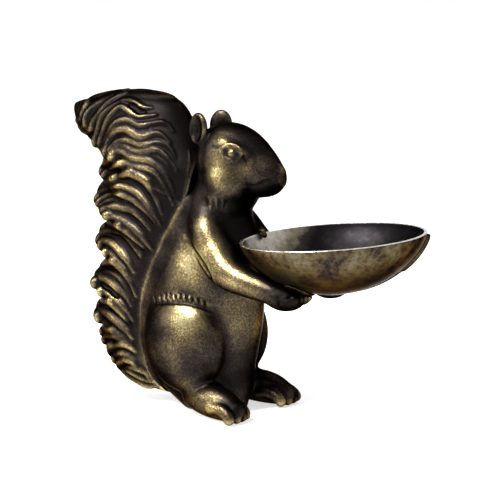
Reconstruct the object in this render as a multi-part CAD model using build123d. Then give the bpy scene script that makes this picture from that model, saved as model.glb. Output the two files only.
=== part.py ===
from build123d import *
import math
import os

# A cast squirrel that sits up and holds out a round dish on both forepaws.
# +X is where it looks, the middle plane is y = 0, its right side is -Y and z = 0 is the ground.

# Body
torso_height = 148.0
torso_depth = 88.0
torso_width = 63.0
body_wall = 4.0

# Head
head_length = 62.0
head_height = 47.0
head_width = 40.0
ear_height = 21.0
ear_width = 15.5
ear_thickness = 7.0
ear_wall = 2.4
eye_length = 8.6
eye_height = 7.0
eye_bulge = 2.2

# Legs
thigh_length = 58.0
thigh_height = 64.0
thigh_thickness = 34.0
foot_length = 45.0
foot_width = 20.0
foot_height = 21.0
toe_count = 4
toe_gap = 1.2

# Arms
upper_arm_radius = 12.5
wrist_radius = 7.0
paw_length = 23.0
paw_width = 16.0
paw_thickness = 11.5
finger_count = 4
finger_gap = 1.0

# Tail
tail_height = 203.0
tail_depth = 110.0
tail_width = 49.0
tail_wall = 4.0
lock_reach = 9.0
lock_swell = 3.5
lock_rise = 26.0
lock_rise_fade = 6
lock_foot_fade = 12

# Dish
dish_radius = 57.5
dish_depth = 35.0
dish_wall = 2.0
dish_rim_height = 118.5
dish_standoff = 18.0
dish_pitch = 3.8
dish_roll = 1.6

# Leaf cradle
leaf_thickness = 3.0
leaf_gap = 0.2
leaf_edge_drop = 2.5
stem_width = 5.0
stem_thickness = 2.4
stem_drop = 9.0
stem_angle = 176.0

# Base
base_rim = 3.0
flange_width = 9.0
flange_height = 6.0
plate_thickness = 3.0
felt_thickness = 1.5

# Fasteners
tail_screw_diameter = 4.0
tail_screw_length = 22.0
tail_screw_spread = 18.0
dish_screw_diameter = 3.0
dish_screw_length = 12.0
base_screw_diameter = 3.0
base_screw_length = 9.0
dowel_diameter = 3.0
dowel_length = 12.0
fit_clearance = 0.1
boss_wall = 2.6
pad_height = 1.5
overrun = 1.0

# Torso rings from the ground up: height, back and front at y = 0, half width
torso_ring_shares = [
    (0.00, -0.40, 0.10, 0.26),
    (0.08, -0.56, 0.13, 0.37),
    (0.20, -0.70, 0.16, 0.46),
    (0.37, -0.75, 0.215, 0.50),
    (0.54, -0.69, 0.235, 0.485),
    (0.69, -0.57, 0.24, 0.435),
    (0.78, -0.48, 0.180, 0.40),
    (0.84, -0.42, 0.135, 0.375),
    (0.90, -0.37, 0.095, 0.335),
    (0.96, -0.32, 0.08, 0.27),
    (1.00, -0.26, 0.05, 0.20),
]
# Head rings from the back of the skull to the nose: place along the head, centre height,
# half height, half width
head_ring_shares = [
    (0.00, 0.50, 0.14, 0.10),
    (0.07, 0.50, 0.34, 0.30),
    (0.22, 0.51, 0.47, 0.44),
    (0.42, 0.50, 0.50, 0.49),
    (0.61, 0.46, 0.45, 0.44),
    (0.78, 0.40, 0.35, 0.31),
    (0.91, 0.35, 0.22, 0.20),
    (0.98, 0.32, 0.11, 0.10),
]
head_start_share = -0.37
head_bottom_share = 0.93
# Tail rings: height, back, front, half width
tail_ring_shares = [
    (0.03, -0.60, -0.40, 0.10),
    (0.05, -0.74, -0.31, 0.25),
    (0.09, -0.85, -0.27, 0.35),
    (0.14, -0.89, -0.25, 0.40),
    (0.24, -0.90, -0.22, 0.45),
    (0.37, -0.885, -0.16, 0.485),
    (0.52, -0.88, -0.07, 0.50),
    (0.66, -0.87, 0.01, 0.50),
    (0.79, -0.88, -0.04, 0.48),
    (0.87, -0.91, -0.17, 0.44),
    (0.93, -0.90, -0.28, 0.37),
    (0.975, -0.84, -0.38, 0.25),
    (1.00, -0.72, -0.52, 0.08),
]
# Locks from the ground up: height of the crest's ring, how far it stands out
lock_shares = [
    (0.065, 0.30),
    (0.12, 0.45),
    (0.18, 0.75),
    (0.28, 1.00),
    (0.41, 0.70),
    (0.535, 1.00),
    (0.625, 0.45),
    (0.73, 1.10),
]
# One lock's rings: height from its crest, how much of its reach they have
lock_ring_shares = [
    (-0.025, 0.0),
    (-0.012, 0.75),
    (0.0, 1.0),
    (0.022, 0.65),
]
# Least height between the last lock and the even rings above it
lock_step_share = 0.06
# Line of the seam between tail and back, seen from the side: along the depth, height
seam_shares = [
    (-0.36, 0.00),
    (-0.42, 0.05),
    (-0.48, 0.12),
    (-0.50, 0.23),
    (-0.47, 0.37),
    (-0.355, 0.515),
    (-0.20, 0.68),
    (-0.16, 0.83),
]
# Curled tip of the tail: along the depth, centre height, radius as a share of the width
tail_tip_shares = [
    (-0.80, 0.892, 0.34),
    (-0.91, 0.892, 0.335),
    (-1.01, 0.904, 0.245),
    (-1.08, 0.917, 0.14),
    (-1.125, 0.931, 0.045),
]
# Foot rings from heel to the toes: along the foot, half width, height
foot_ring_shares = [
    (0.00, 0.26, 0.50),
    (0.15, 0.44, 0.90),
    (0.40, 0.50, 1.00),
    (0.65, 0.50, 0.86),
    (0.88, 0.47, 0.64),
    (1.00, 0.32, 0.36),
]
foot_half_height_share = 0.58
heel_shares = (-0.19, 0.36)
foot_splay = 8.0
toe_length_share = 0.36
thigh_place_shares = (-0.215, 0.39, 0.31)
# Arm from shoulder to elbow: along the torso's depth, out, up
shoulder_shares = (-0.12, 0.19, 0.88)
upper_arm_shares = (-0.03, 0.33, 0.79)
mid_arm_shares = (0.05, 0.37, 0.70)
elbow_shares = (0.17, 0.41, 0.63)
forearm_shares = (0.33, 0.42, 0.59)
arm_radius_shares = (0.55, 1.0, 0.9, 0.6, 0.2, -0.25)
# Place of each paw under the dish: out from the dish's axis, angle from the front
paw_seat_share = 0.40
paw_drop_share = 0.32
paw_angle = 120.0
# Ears, eyes and nose on the head: along, up, out
ear_place_shares = (0.10, 0.905, 0.31)
ear_turn = -12.0
ear_hollow_share = 0.45
eye_place_shares = (0.565, 0.62)
nose_place_shares = (0.97, 0.38)
nose_size_shares = (0.14, 0.16, 0.14)
# Outer face of the dish in section, from the middle of its floor to the rim: out, down
dish_curve_shares = [
    (0.00, 1.00),
    (0.46, 0.85),
    (0.79, 0.50),
    (1.00, 0.00),
]
dish_rim_slope_share = 0.12
# Lobes of the leaf seen from above: middle along and across, half length, half width, turn
leaf_lobe_shares = [
    (-0.10, 0.34, 1.04, 0.20, 17.0),
    (-0.64, -0.19, 0.36, 0.155, 35.0),
    (-0.27, -0.32, 0.32, 0.15, -72.0),
    (-0.62, 0.42, 0.36, 0.15, -48.0),
    (-0.20, 0.60, 0.34, 0.15, 100.0),
    (0.17, 0.68, 0.33, 0.14, 76.0),
    (0.50, 0.68, 0.27, 0.13, 58.0),
    (0.72, 0.50, 0.24, 0.13, 33.0),
]
# Height of the tail screws, and of the seam dowels on the front wall
tail_screw_height_share = 0.45
dowel_height_shares = (0.25, 0.66)


def ellipsoid(length, width, height):
    return scale(Sphere(1), by=(length / 2, width / 2, height / 2))


def ring(back, front, half_width, height, inset):
    half_depth = (front - back) / 2 - inset
    return Pos((back + front) / 2, 0, height) * Ellipse(half_depth, half_width - inset)


def torso_ring(shares, inset=0):
    height, back, front, half_width = shares
    return ring(back * torso_depth, front * torso_depth, half_width * torso_width,
                height * torso_height, inset)


def tail_ring(shares, inset=0, reach=0, swell=0):
    """Tilted ring of the tail, its back edge higher than its front, level at the ground and the top."""
    height, back, front, half_width = shares
    back_x = back * tail_depth - reach
    half_depth = (front * tail_depth - back_x) / 2
    tilt = lock_rise * (1 - height ** lock_rise_fade) * (1 - (1 - height) ** lock_foot_fade)
    place = Pos(back_x + half_depth, 0, height * tail_height) * Rot(0, tilt, 0)
    half_length = half_depth / math.cos(math.radians(tilt))
    return place * Ellipse(half_length - inset, half_width * tail_width + swell - inset)


def head_ring(shares, inset=0):
    along, centre, half_height, half_width = shares
    place = Plane(origin=(head_start + along * head_length, 0, head_bottom + centre * head_height),
                  x_dir=(0, 1, 0), z_dir=(1, 0, 0))
    return place * Ellipse(half_width * head_width - inset, half_height * head_height - inset)


def between(rows, key):
    """Row of a share table at a given first value, read off between its neighbours."""
    for low, high in zip(rows, rows[1:]):
        if key <= high[0]:
            part = (key - low[0]) / (high[0] - low[0])
            return tuple(a + part * (b - a) for a, b in zip(low, high))
    return rows[-1]


def torso_back(height_share, out):
    """Place of the back's surface at a height and a distance from the middle plane."""
    _, back, front, half_width = between(torso_ring_shares, height_share)
    middle = (back + front) / 2 * torso_depth
    half_depth = (front - back) / 2 * torso_depth
    return middle - half_depth * math.sqrt(1 - (out / (half_width * torso_width)) ** 2)


def head_side(along_share, up_share):
    """Half width of the head at a place seen from the side."""
    _, centre, half_height, half_width = between(head_ring_shares, along_share)
    drop = (up_share - centre) / half_height
    return half_width * head_width * math.sqrt(1 - drop ** 2)


def screw(diameter, length, clearance=0.0):
    """Countersunk screw that points down from its flat head at z = 0."""
    radius = diameter / 2 + clearance
    head_radius = diameter + clearance
    head_rise = head_radius - radius
    shank = Pos(0, 0, -length / 2) * Cylinder(radius, length)
    cone = Pos(0, 0, -head_rise / 2) * Cone(radius, head_radius, head_rise)
    return shank + cone


def slotted(fastener, diameter):
    slot_depth = diameter / 5
    slot = Pos(0, 0, -slot_depth / 2) * Box(2 * diameter, slot_depth, slot_depth)
    return fastener - slot


def right_side(shares):
    along, out, up = shares
    return (along * torso_depth, -out * torso_width, up * torso_height)


head_start = head_start_share * head_length
head_bottom = head_bottom_share * torso_height
base_top = felt_thickness + plate_thickness
flange_top = base_top + flange_height
dish_x = dish_standoff + dish_radius
dish_place = Location((dish_x, 0, dish_rim_height), (dish_roll, -dish_pitch, 0))
leaf_outside = leaf_gap + leaf_thickness
figure_span = torso_depth + tail_depth


# Dish and cradle, in the dish's own frame with the rim at z = 0

def dish_curve(offset):
    """Section line of the dish's outer face, grown by an offset."""
    points = [(out * (dish_radius + offset), -down * (dish_depth + offset)) for out, down in dish_curve_shares]
    return Spline(*points, tangents=((1, 0), (dish_rim_slope_share, 1)))


def dish_profile(inside, outside):
    """Half section of a dish-shaped wall between two offsets."""
    inner = dish_curve(inside)
    outer = dish_curve(outside)
    rim = Line(inner @ 1, outer @ 1)
    floor = Line(outer @ 0, inner @ 0)
    return Plane.XZ * make_face(outer + rim + inner + floor)


def dish_envelope(offset):
    """Solid that fills the dish up to the rim, grown by an offset."""
    curve = dish_curve(offset)
    outline = curve + Line(curve @ 1, (0, 0)) + Line((0, 0), curve @ 0)
    return revolve(Plane.XZ * make_face(outline), Axis.Z)


def leaf_outline():
    lobes = Sketch()
    for along, across, half_length, half_width, turn in leaf_lobe_shares:
        lobe = Rot(0, 0, turn) * Ellipse(half_length * dish_radius, half_width * dish_radius)
        lobes += Pos(along * dish_radius, across * dish_radius) * lobe
    return lobes


def stem(clearance=0.0):
    """Flat stem of the leaf that rises from the cradle's wall and hooks over the dish's rim."""
    inner = dish_wall / 2 + leaf_gap
    outer = inner + stem_thickness + clearance
    width = stem_width + 2 * clearance
    strap = Rot(90, 0, 0) * (Cylinder(outer, width) - Cylinder(inner, width))
    hook = strap & Pos(0, 0, outer / 2) * Box(2 * outer, width, outer)
    rise = Pos((inner + outer) / 2, 0, -stem_drop / 2) * Box(outer - inner, width, stem_drop)
    return Rot(0, 0, stem_angle) * Pos(dish_radius - dish_wall / 2, 0, 0) * (hook + rise)


dish_shell = revolve(dish_profile(-dish_wall, 0), Axis.Z)
leaf_wall = revolve(dish_profile(leaf_gap, leaf_outside), Axis.Z)
leaf_height = dish_depth + leaf_outside - leaf_edge_drop
leaf_prism = Pos(0, 0, -dish_depth - leaf_outside) * extrude(leaf_outline(), leaf_height)
leaf = (leaf_wall & leaf_prism) + stem()

# A dish screw's seat: on the dish's inner face, square to the dish's outer face
seat_curve = dish_curve(0)
seat_point = seat_curve @ paw_seat_share
seat_slope = seat_curve % paw_seat_share
seat_tilt = math.degrees(math.atan2(seat_slope.Y, seat_slope.X))


def dish_screw_place(side):
    turn = Rot(0, 0, side * paw_angle)
    return dish_place * turn * Pos(seat_point.X, 0, seat_point.Y) * Rot(0, -seat_tilt, 0) * Pos(0, 0, dish_wall)


dish = dish_place * dish_shell
leaf_cradle = dish_place * leaf
dish_screw_solids = []
for side in (-1, 1):
    hole = dish_screw_place(side) * screw(dish_screw_diameter, dish_screw_length, fit_clearance)
    dish -= hole
    leaf_cradle -= hole
    dish_screw_solids.append(dish_screw_place(side) * slotted(screw(dish_screw_diameter, dish_screw_length),
                                                              dish_screw_diameter))

# Solid outer forms of the body

torso = loft([torso_ring(shares) for shares in torso_ring_shares])
head = loft([head_ring(shares) for shares in head_ring_shares])
nose_x = head_start + nose_place_shares[0] * head_length
nose_z = head_bottom + nose_place_shares[1] * head_height
nose = Pos(nose_x, 0, nose_z) * ellipsoid(nose_size_shares[0] * head_length, nose_size_shares[1] * head_width,
                                          nose_size_shares[2] * head_height)


def right_ear():
    inner_height = ear_height - 2 * ear_wall
    inner_width = ear_width - 2 * ear_wall
    hollow = Pos(0, -ear_hollow_share * ear_thickness, 0) * ellipsoid(inner_width, ear_thickness, inner_height)
    cup = ellipsoid(ear_width, ear_thickness, ear_height) - hollow
    along, up, out = ear_place_shares
    place = Pos(head_start + along * head_length, -out * head_width, head_bottom + up * head_height)
    return place * Rot(0, 0, ear_turn) * cup


def right_eye():
    along, up = eye_place_shares
    out = head_side(along, up)
    place = Pos(head_start + along * head_length, -out, head_bottom + up * head_height)
    return place * ellipsoid(eye_length, 2 * eye_bulge, eye_height)


# The right paw lies under its dish screw, the left one is its mirror image
paw_seat = dish_screw_place(-1) * Pos(0, 0, -dish_wall - leaf_outside)
paw_place = Pos(*(paw_seat * Pos(0, 0, -paw_drop_share * paw_thickness)).position)


def right_arm():
    paw = paw_place.position
    wrist = (paw.X - paw_length / 4, paw.Y, paw.Z)
    points = [right_side(shares) for shares in
              (shoulder_shares, upper_arm_shares, mid_arm_shares, elbow_shares, forearm_shares)] + [wrist]
    route = Spline(*points)
    rings = []
    for point, share in zip(points, arm_radius_shares):
        radius = wrist_radius + share * (upper_arm_radius - wrist_radius)
        slope = route % route.param_at_point(point)
        rings.append(Plane(origin=point, z_dir=slope) * Circle(radius))
    return loft(rings)


def grooves(count, spread, length, gap, height):
    """Slots that part the toes or fingers, fanned out from a point behind them."""
    slots = []
    for index in range(count - 1):
        across = (index - (count - 2) / 2) * spread / count
        fan = math.degrees(math.atan2(across, 2 * length))
        slots.append(Pos(0, across, 0) * Rot(0, 0, fan) * Box(length, gap, height))
    return slots


def right_paw():
    solid = ellipsoid(paw_length, paw_width, paw_thickness)
    for slot in grooves(finger_count, paw_width, paw_length / 2, finger_gap, paw_thickness):
        solid -= Pos(paw_length / 2, 0, 0) * slot
    return paw_place * solid


def right_foot():
    rings = []
    for along, half_width, height in foot_ring_shares:
        half_height = foot_half_height_share * height * foot_height
        centre = height * foot_height - half_height
        place = Plane(origin=(along * foot_length, 0, centre), x_dir=(0, 1, 0), z_dir=(1, 0, 0))
        rings.append(place * Ellipse(half_width * foot_width, half_height))
    solid = loft(rings)
    toe_length = toe_length_share * foot_length
    for slot in grooves(toe_count, foot_width, toe_length, toe_gap, foot_height):
        solid -= Pos(foot_length, 0, foot_half_height_share * foot_height) * slot
    under = Pos(0, 0, -foot_height) * Box(3 * foot_length, 3 * foot_width, 2 * foot_height)
    solid -= under
    heel = (heel_shares[0] * torso_depth, -heel_shares[1] * torso_width, 0)
    return Pos(*heel) * Rot(0, 0, -foot_splay) * solid


def right_thigh():
    return Pos(*right_side(thigh_place_shares)) * ellipsoid(thigh_length, thigh_thickness, thigh_height)


def torso_cavity():
    """Room inside the torso above the flange of the base."""
    room = loft([torso_ring(shares, body_wall) for shares in torso_ring_shares[::2]])
    below = Pos(0, 0, flange_top / 2 - overrun) * Box(2 * figure_span, figure_span, flange_top + 2 * overrun)
    return room - below


def head_cavity():
    return loft([head_ring(shares, body_wall) for shares in head_ring_shares[1:-2]])


def base_outline(inset):
    return torso_ring(torso_ring_shares[0], inset)


def base_screw_spot(side):
    """Place of one half's plate screw, in the middle of the flange."""
    _, back, front, half_width = torso_ring_shares[0]
    inset = base_rim + flange_width / 2
    return ((back + front) / 2 * torso_depth, side * (half_width * torso_width - inset))


def base_screw_place(side):
    x, y = base_screw_spot(side)
    return Pos(x, y, felt_thickness) * Rot(180, 0, 0)


def seam_boss_spots():
    """Places of the dowels on the middle plane, on the inner face of the front wall."""
    spots = []
    for share in dowel_height_shares:
        front = between(torso_ring_shares, share)[2] * torso_depth
        spots.append((front - body_wall, share * torso_height))
    along, centre, half_height, _ = head_ring_shares[3]
    crown = head_bottom + (centre + half_height) * head_height
    spots.append((head_start + along * head_length, crown - body_wall))
    return spots


def along_y(x, z):
    return Pos(x, 0, z) * Rot(90, 0, 0)


def tail_screw_place(side):
    """Frame of one tail screw: on the pad inside the back wall, z towards the screw's head."""
    out = side * tail_screw_spread / 2
    pad_face = torso_back(tail_screw_height_share, out) + body_wall + pad_height
    return Pos(pad_face, out, tail_screw_height_share * torso_height) * Rot(0, 90, 0)


def tail_rings():
    """Rings of the tail from the ground up: even ones at both ends, the swelling locks between."""
    first = lock_shares[0][0] + lock_ring_shares[0][0]
    last = lock_shares[-1][0] + lock_ring_shares[-1][0]
    rings = [tail_ring(shares) for shares in tail_ring_shares if shares[0] < first]
    for crest_height, reach in lock_shares:
        for rise, part in lock_ring_shares:
            shares = between(tail_ring_shares, crest_height + rise)
            rings.append(tail_ring(shares, 0, part * reach * lock_reach, part * lock_swell))
    return rings + [tail_ring(shares) for shares in tail_ring_shares if shares[0] > last + lock_step_share]


def tail_tip():
    rings = []
    for along, height, radius in tail_tip_shares:
        place = Plane(origin=(along * tail_depth, 0, height * tail_height), x_dir=(0, 1, 0), z_dir=(-1, 0, 0))
        rings.append(place * Circle(radius * tail_width))
    return loft(rings)


def front_of_seam():
    """Room in front of the seam line, up to the top of the seam."""
    line = Spline(*[(along * tail_depth, height * tail_height) for along, height in seam_shares])
    top = line @ 1
    bottom = line @ 0
    far = figure_span
    outline = line + Polyline(top, (far, top.Y), (far, -far), (bottom.X, -far), bottom)
    return Pos(0, far / 2, 0) * extrude(Plane.XZ * make_face(outline), far)


# Body: the right form, its mirror image, and the room inside both
core = torso + head + nose
right_limbs = right_thigh() + right_foot() + right_arm() + right_paw() + right_ear() + right_eye()
right_room = Pos(0, -figure_span / 2, tail_height / 2) * Box(2 * figure_span, figure_span, 2 * tail_height)
right_form = (core & right_room) + right_limbs
right_cavity = torso_cavity() + head_cavity()
right_shell = right_form - right_cavity

boss_reach = dowel_length / 2 + boss_wall
for x, z in seam_boss_spots():
    boss = along_y(x, z) * Pos(0, 0, boss_reach / 2) * Cylinder(dowel_diameter / 2 + boss_wall, boss_reach)
    right_shell += boss & right_form
    right_shell -= along_y(x, z) * Cylinder(dowel_diameter / 2 + fit_clearance, dowel_length + 2 * fit_clearance)

pad_length = body_wall + 2 * pad_height
pad = Pos(0, 0, -pad_length / 2) * Cylinder(tail_screw_diameter + boss_wall, pad_length)
right_shell += (tail_screw_place(-1) * pad) & right_form
right_shell -= tail_screw_place(-1) * screw(tail_screw_diameter, tail_screw_length, fit_clearance)

base_room = extrude(base_outline(base_rim), base_top)
base_room += extrude(base_outline(base_rim + flange_width), flange_top + overrun)
right_shell -= base_room
right_shell -= base_screw_place(-1) * screw(base_screw_diameter, base_screw_length, fit_clearance)

dish_room = dish_place * (dish_envelope(leaf_outside + fit_clearance) + stem(fit_clearance))
left_shell = mirror(right_shell, about=Plane.XZ)
right_shell -= dish_room
left_shell -= dish_room
right_shell -= dish_screw_place(-1) * screw(dish_screw_diameter, dish_screw_length, fit_clearance)
left_shell -= dish_screw_place(1) * screw(dish_screw_diameter, dish_screw_length, fit_clearance)

# Tail: hollow, open along the seam where the body's back closes it
tail_outer = loft(tail_rings(), ruled=True) + tail_tip()
tail_room = loft([tail_ring(shares, tail_wall) for shares in tail_ring_shares[1:-2]])
tail = tail_outer - tail_room
tail_back = between(tail_ring_shares, tail_screw_height_share * torso_height / tail_height)[1] * tail_depth
tail_screws = []
for side in (-1, 1):
    place = tail_screw_place(side)
    reach = place.position.X - tail_back - tail_wall / 2
    boss = place * Pos(0, 0, -reach / 2) * Cylinder(tail_screw_diameter / 2 + boss_wall, reach)
    tail += boss & tail_outer
    tail -= place * screw(tail_screw_diameter, tail_screw_length, fit_clearance)
    tail_screws.append(place * slotted(screw(tail_screw_diameter, tail_screw_length), tail_screw_diameter))
left_form = mirror(right_form, about=Plane.XZ)
tail = tail - front_of_seam() - right_form - left_form

# Fasteners, plate and felt
seam_dowels = [along_y(x, z) * Cylinder(dowel_diameter / 2, dowel_length) for x, z in seam_boss_spots()]
plate_outline = base_outline(base_rim + fit_clearance)
base_felt = extrude(plate_outline, felt_thickness)
base_plate = Pos(0, 0, felt_thickness) * extrude(plate_outline, plate_thickness)
base_screws = []
for side in (-1, 1):
    place = base_screw_place(side)
    base_plate -= place * screw(base_screw_diameter, base_screw_length, fit_clearance)
    base_screws.append(place * slotted(screw(base_screw_diameter, base_screw_length), base_screw_diameter))

pieces = {
    "body_right_shell": right_shell,
    "body_left_shell": left_shell,
    "seam_dowels": Compound(children=seam_dowels),
    "tail": tail,
    "tail_screws": Compound(children=tail_screws),
    "dish": dish,
    "leaf_cradle": leaf_cradle,
    "dish_screws": Compound(children=dish_screw_solids),
    "base_plate": base_plate,
    "base_screws": Compound(children=base_screws),
    "base_felt": base_felt,
}
os.makedirs("parts", exist_ok=True)
for name, solid in pieces.items():
    export_step(solid, f"parts/{name}.step")
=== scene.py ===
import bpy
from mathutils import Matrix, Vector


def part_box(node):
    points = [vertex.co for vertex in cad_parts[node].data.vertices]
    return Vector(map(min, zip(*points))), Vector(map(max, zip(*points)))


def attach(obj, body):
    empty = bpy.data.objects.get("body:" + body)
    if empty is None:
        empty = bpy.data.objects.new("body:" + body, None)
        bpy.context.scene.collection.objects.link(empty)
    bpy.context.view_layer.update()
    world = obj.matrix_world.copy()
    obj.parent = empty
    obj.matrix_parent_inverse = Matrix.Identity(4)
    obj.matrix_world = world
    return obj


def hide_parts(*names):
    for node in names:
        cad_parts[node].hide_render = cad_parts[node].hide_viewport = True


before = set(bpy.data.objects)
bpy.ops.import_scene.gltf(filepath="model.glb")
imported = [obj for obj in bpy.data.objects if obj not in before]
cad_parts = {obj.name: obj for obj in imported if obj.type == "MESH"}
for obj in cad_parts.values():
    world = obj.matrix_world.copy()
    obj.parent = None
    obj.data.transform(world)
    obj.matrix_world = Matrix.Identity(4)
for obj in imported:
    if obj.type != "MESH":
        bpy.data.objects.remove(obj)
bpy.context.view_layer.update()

import copy
import math

import bpy
import numpy as np
import openvdb
from mathutils import Matrix, Vector

# Lengths below are in units of a 204th of the figure's height, which is close to a millimetre.
# +X is where the squirrel looks, its right side is -Y, the side that the camera sees.
figure_units = 204.0
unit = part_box("tail")[1].z / figure_units
clay_step = 0.8
tail_step = 0.7


def add_object(name, data):
    """New object in the scene that holds a mesh, a lamp or a camera."""
    holder = bpy.data.objects.new(name, data)
    bpy.context.scene.collection.objects.link(holder)
    return holder


def add_mesh(name, points, faces):
    """New mesh object from points and faces."""
    mesh = bpy.data.meshes.new(name)
    mesh.from_pydata(points, [], faces)
    return add_object(name, mesh)


# Camera, solved from the outline of the object in the photograph
camera_azimuth = 34.0
camera_elevation = 9.3
camera_distance = 1250.0
camera_target = (14.0, 0.0, 104.8)
camera_lens = 142.85
sensor_width = 36.0
image_size = 500
view_reach = 170.0

azimuth = math.radians(camera_azimuth)
elevation = math.radians(camera_elevation)
back = np.array((math.sin(azimuth) * math.cos(elevation), -math.cos(azimuth) * math.cos(elevation),
                 math.sin(elevation)))
right = np.array((math.cos(azimuth), math.sin(azimuth), 0.0))
up = np.cross(back, right)
eye_point = np.array(camera_target) + back * camera_distance

camera_data = bpy.data.cameras.new("camera")
camera_data.lens = camera_lens
camera_data.sensor_width = sensor_width
camera = add_object("camera", camera_data)
camera_turn = Matrix((right, up, back)).transposed().to_4x4()
camera.matrix_world = Matrix.Translation(Vector(eye_point * unit)) @ camera_turn
bpy.context.scene.camera = camera


# Clay: forms that are added to and cut from a grid of distances

far_away = 99.0
relief_reach = 3.0
relief_limit = 0.9
groove_taper = 0.6
groove_taper_power = 4


def smooth_rows(rows, at):
    """Rows of a table, key first, read off at any key by a smooth curve through them."""
    rows = np.asarray(rows, float)
    keys = rows[:, 0]
    values = rows[:, 1:]
    slopes = np.gradient(values, keys, axis=0)
    at = np.clip(at, keys[0], keys[-1])
    low = np.clip(np.searchsorted(keys, at, side="right") - 1, 0, len(keys) - 2)
    gap = (keys[low + 1] - keys[low])[:, None]
    t = (at - keys[low])[:, None] / gap
    rise = t * t * (3 - 2 * t)
    return (values[low] * (1 - rise) + values[low + 1] * rise
            + gap * slopes[low] * t * (1 - t) ** 2 - gap * slopes[low + 1] * t * t * (1 - t))


def curve(points, count):
    """Evenly numbered points on a smooth line through the given ones."""
    points = np.asarray(points, float)
    keys = np.arange(len(points), dtype=float)
    return smooth_rows(np.column_stack((keys, points)), np.linspace(0, keys[-1], count))


def eased(values, count):
    """Numbers read off a smooth curve through the given ones."""
    return curve([(value,) for value in values], count).ravel()


def smooth_min(a, b, blend):
    """Lesser of two distances, rounded where they are nearly equal."""
    if blend <= 0:
        return np.minimum(a, b)
    h = np.clip(0.5 + 0.5 * (b - a) / blend, 0, 1)
    return b * (1 - h) + a * h - blend * h * (1 - h)


class Clay:
    """Distances to a surface on a grid of points, negative inside it."""

    def __init__(self, low, high, step):
        counts = np.ceil((np.array(high) - np.array(low)) / step).astype(int)
        self.low = np.array(high) - step * counts
        self.step = step
        self.axes = [(start + step * np.arange(count + 1)).astype(np.float32)
                     for start, count in zip(self.low, counts)]
        self.field = np.full(counts + 1, far_away, np.float32)

    def apply(self, form, join, blend):
        """Join a form, given as its lowest corner, highest corner and distance, with the field near it."""
        low, high, distance = form
        margin = blend + relief_reach + 3 * self.step
        spans = tuple(slice(*np.searchsorted(axis, (a - margin, b + margin)))
                      for axis, a, b in zip(self.axes, low, high))
        if any(span.start >= span.stop for span in spans):
            return
        axes = [axis[span] for axis, span in zip(self.axes, spans)]
        places = np.meshgrid(*axes, indexing="ij", sparse=True)
        self.field[spans] = join(self.field[spans], distance(*places).astype(np.float32))

    def add(self, form, blend=0.0):
        self.apply(form, lambda old, new: smooth_min(old, new, blend), blend)

    def cut(self, form, blend=0.0):
        self.apply(form, lambda old, new: -smooth_min(-old, new, blend), blend)

    def keep(self, form):
        self.apply(form, np.maximum, 0.0)

    def at(self, places):
        """Distances at scattered places, read off linearly between the grid's points."""
        return sample(self.field, (places - self.low) / self.step)

    def mirrored(self):
        """The clay and its mirror image in y, to be read only, for a grid that ends at y = 0."""
        whole = copy.copy(self)
        whole.field = np.concatenate((self.field, self.field[:, -2::-1]), axis=1)
        return whole


def sample(field, places):
    """The field read off linearly at places given in steps of its grid."""
    places = np.clip(places, 0, np.array(field.shape) - 1.001)
    corner = places.astype(int)
    part = places - corner
    total = 0
    for dx in (0, 1):
        for dy in (0, 1):
            for dz in (0, 1):
                offset = np.array((dx, dy, dz))
                near = corner + offset
                weight = np.abs(1 - offset - part).prod(1)
                total = total + weight * field[near[:, 0], near[:, 1], near[:, 2]]
    return total


def blurred(field, reach):
    """The field averaged over a small cube around each point."""
    out = field
    for axis in range(3):
        total = out.copy()
        for shift in range(1, reach + 1):
            total += np.roll(out, shift, axis) + np.roll(out, -shift, axis)
        out = total / (2 * reach + 1)
    return out


def turned(angles):
    """Rotation matrix from turns about X, Y and Z in degrees, applied in that order."""
    x, y, z = (Matrix.Rotation(math.radians(angle), 3, axis) for angle, axis in zip(angles, "XYZ"))
    return np.array(z @ y @ x)


def own_places(turn, centre, x, y, z):
    """Places in the frame of a turned form."""
    offsets = (x - centre[0], y - centre[1], z - centre[2])
    return [sum(turn[i, j] * offsets[i] for i in range(3)) for j in range(3)]


def oval(parts, radii):
    """Distance to an oval, from the parts of a place along its axes and its radii."""
    near = np.sqrt(sum((part / size) ** 2 for part, size in zip(parts, radii)))
    far = np.sqrt(sum((part / size ** 2) ** 2 for part, size in zip(parts, radii)))
    return near * (near - 1) / np.maximum(far, 1e-6)


def egg(centre, radii, angles=(0, 0, 0)):
    """Ellipsoid."""
    turn = turned(angles)
    radii = np.array(radii, float)
    reach = np.sqrt(((turn * radii) ** 2).sum(1))

    def distance(x, y, z):
        return oval(own_places(turn, centre, x, y, z), radii)

    return np.array(centre) - reach, np.array(centre) + reach, distance


def limb(points, radii):
    """Round bar of changing thickness along a line of points."""
    points = np.asarray(points, float)
    radii = np.broadcast_to(np.asarray(radii, float), len(points))
    pieces = []
    for a, b, ra, rb in zip(points, points[1:], radii, radii[1:]):
        pieces.append((a, b - a, ra, rb - ra, max(((b - a) ** 2).sum(), 1e-9)))

    def distance(x, y, z):
        best = None
        for a, along, radius, growth, length in pieces:
            px, py, pz = x - a[0], y - a[1], z - a[2]
            t = np.clip((px * along[0] + py * along[1] + pz * along[2]) / length, 0, 1)
            gap = np.sqrt((px - t * along[0]) ** 2 + (py - t * along[1]) ** 2 + (pz - t * along[2]) ** 2)
            gap = gap - radius - t * growth
            best = gap if best is None else np.minimum(best, gap)
        return best

    widest = radii.max()
    return points.min(0) - widest, points.max(0) + widest, distance


def bar(line, radii, count):
    """Limb along a smooth line through a few points, with a radius given at each."""
    return limb(curve(line, count), eased(radii, count))


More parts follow.
